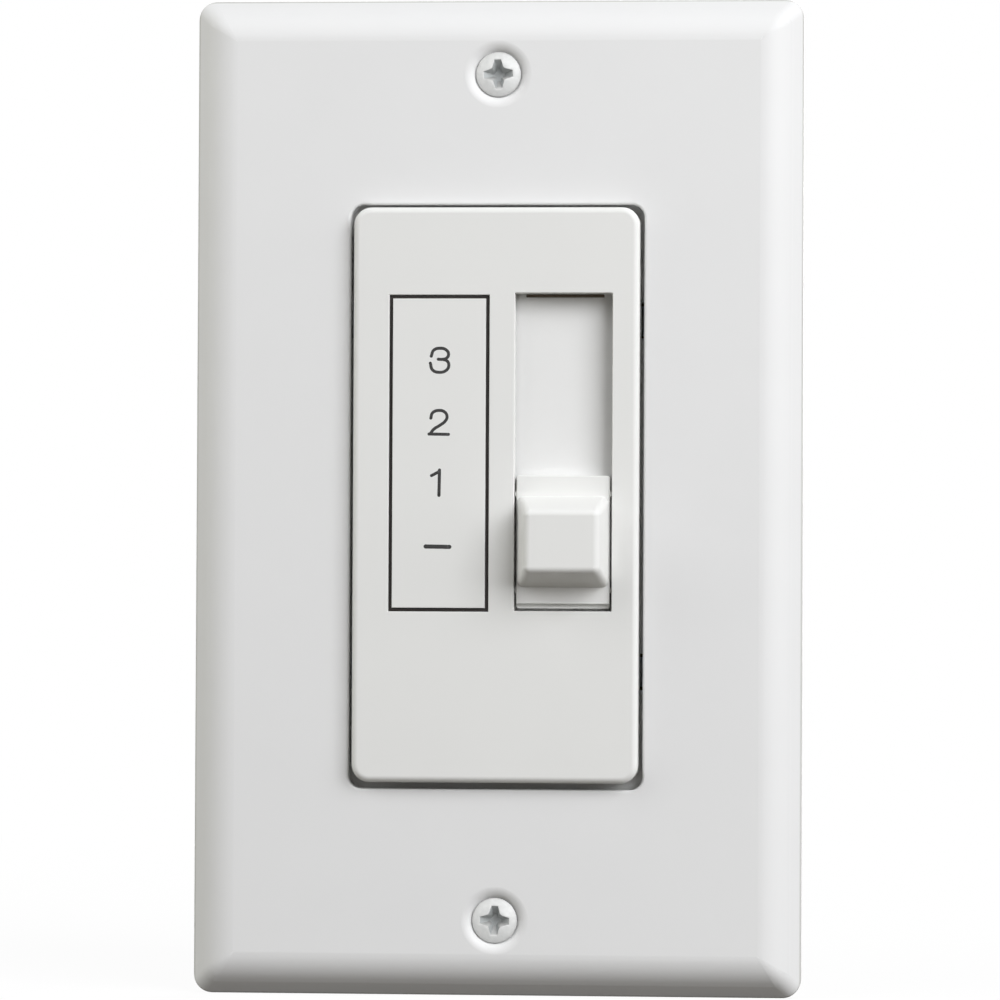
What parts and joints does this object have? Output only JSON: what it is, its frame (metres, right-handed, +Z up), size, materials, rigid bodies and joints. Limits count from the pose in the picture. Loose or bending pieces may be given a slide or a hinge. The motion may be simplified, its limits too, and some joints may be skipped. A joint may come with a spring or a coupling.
{
  "type": "fan speed control switch",
  "caption": "Wall-mounted slide control for a ceiling fan's speed: a bevelled plate round a raised face, with a sliding knob beside a numbered strip.",
  "frame": {"origin": "midway between the box screw holes, on the wall's face", "axes": "+X to the right seen from the room, +Y into the wall, +Z up"},
  "size_m": [0.0698, 0.0405, 0.1142],
  "materials": {
    "plate_plastic": "white moulded thermoplastic, satin gloss",
    "cover_plastic": "white moulded plastic, satin gloss",
    "slide_plastic": "natural white bearing plastic",
    "screw_steel": "bright zinc plate",
    "yoke_steel": "galvanised sheet",
    "deck_plastic": "off-white moulded plastic",
    "housing_plastic": "dark moulded phenolic",
    "terminal_brass": "plain brass",
    "spring_bronze": "rolled spring bronze",
    "earth_green": "green dyed plating",
    "board_laminate": "glass laminate",
    "capacitor_case": "moulded box with resin fill",
    "resistor_body": "lacquered ceramic",
    "fuse_case": "drawn can"
  },
  "bodies": {
    "body": {"wall_plate": "plate_plastic", "plate_screws": "screw_steel", "front_cover": "cover_plastic", "legend_insert": "cover_plastic", "slide_floor": "slide_plastic", "yoke": "yoke_steel", "carriage_deck": "deck_plastic", "housing": "housing_plastic", "housing_screws": "screw_steel", "terminal_plates": "terminal_brass", "terminal_screws": "terminal_brass", "earth_screw": "earth_green", "circuit_board": "board_laminate", "common_rail": "terminal_brass", "speed_contacts": "terminal_brass", "capacitor_large": "capacitor_case", "capacitor_small": "capacitor_case", "bleed_resistors": "resistor_body", "thermal_fuse": "fuse_case"},
    "slider": {"slide_carriage": "slide_plastic", "knob_cap": "cover_plastic", "wiper_contact": "spring_bronze", "detent_spring": "spring_bronze"}
  },
  "joints": [
    {"name": "knob_slide", "type": "slide", "parent": "body", "child": "slider", "axis": [0, 0, 1], "range_m": [0, 0.02055]}
  ]
}
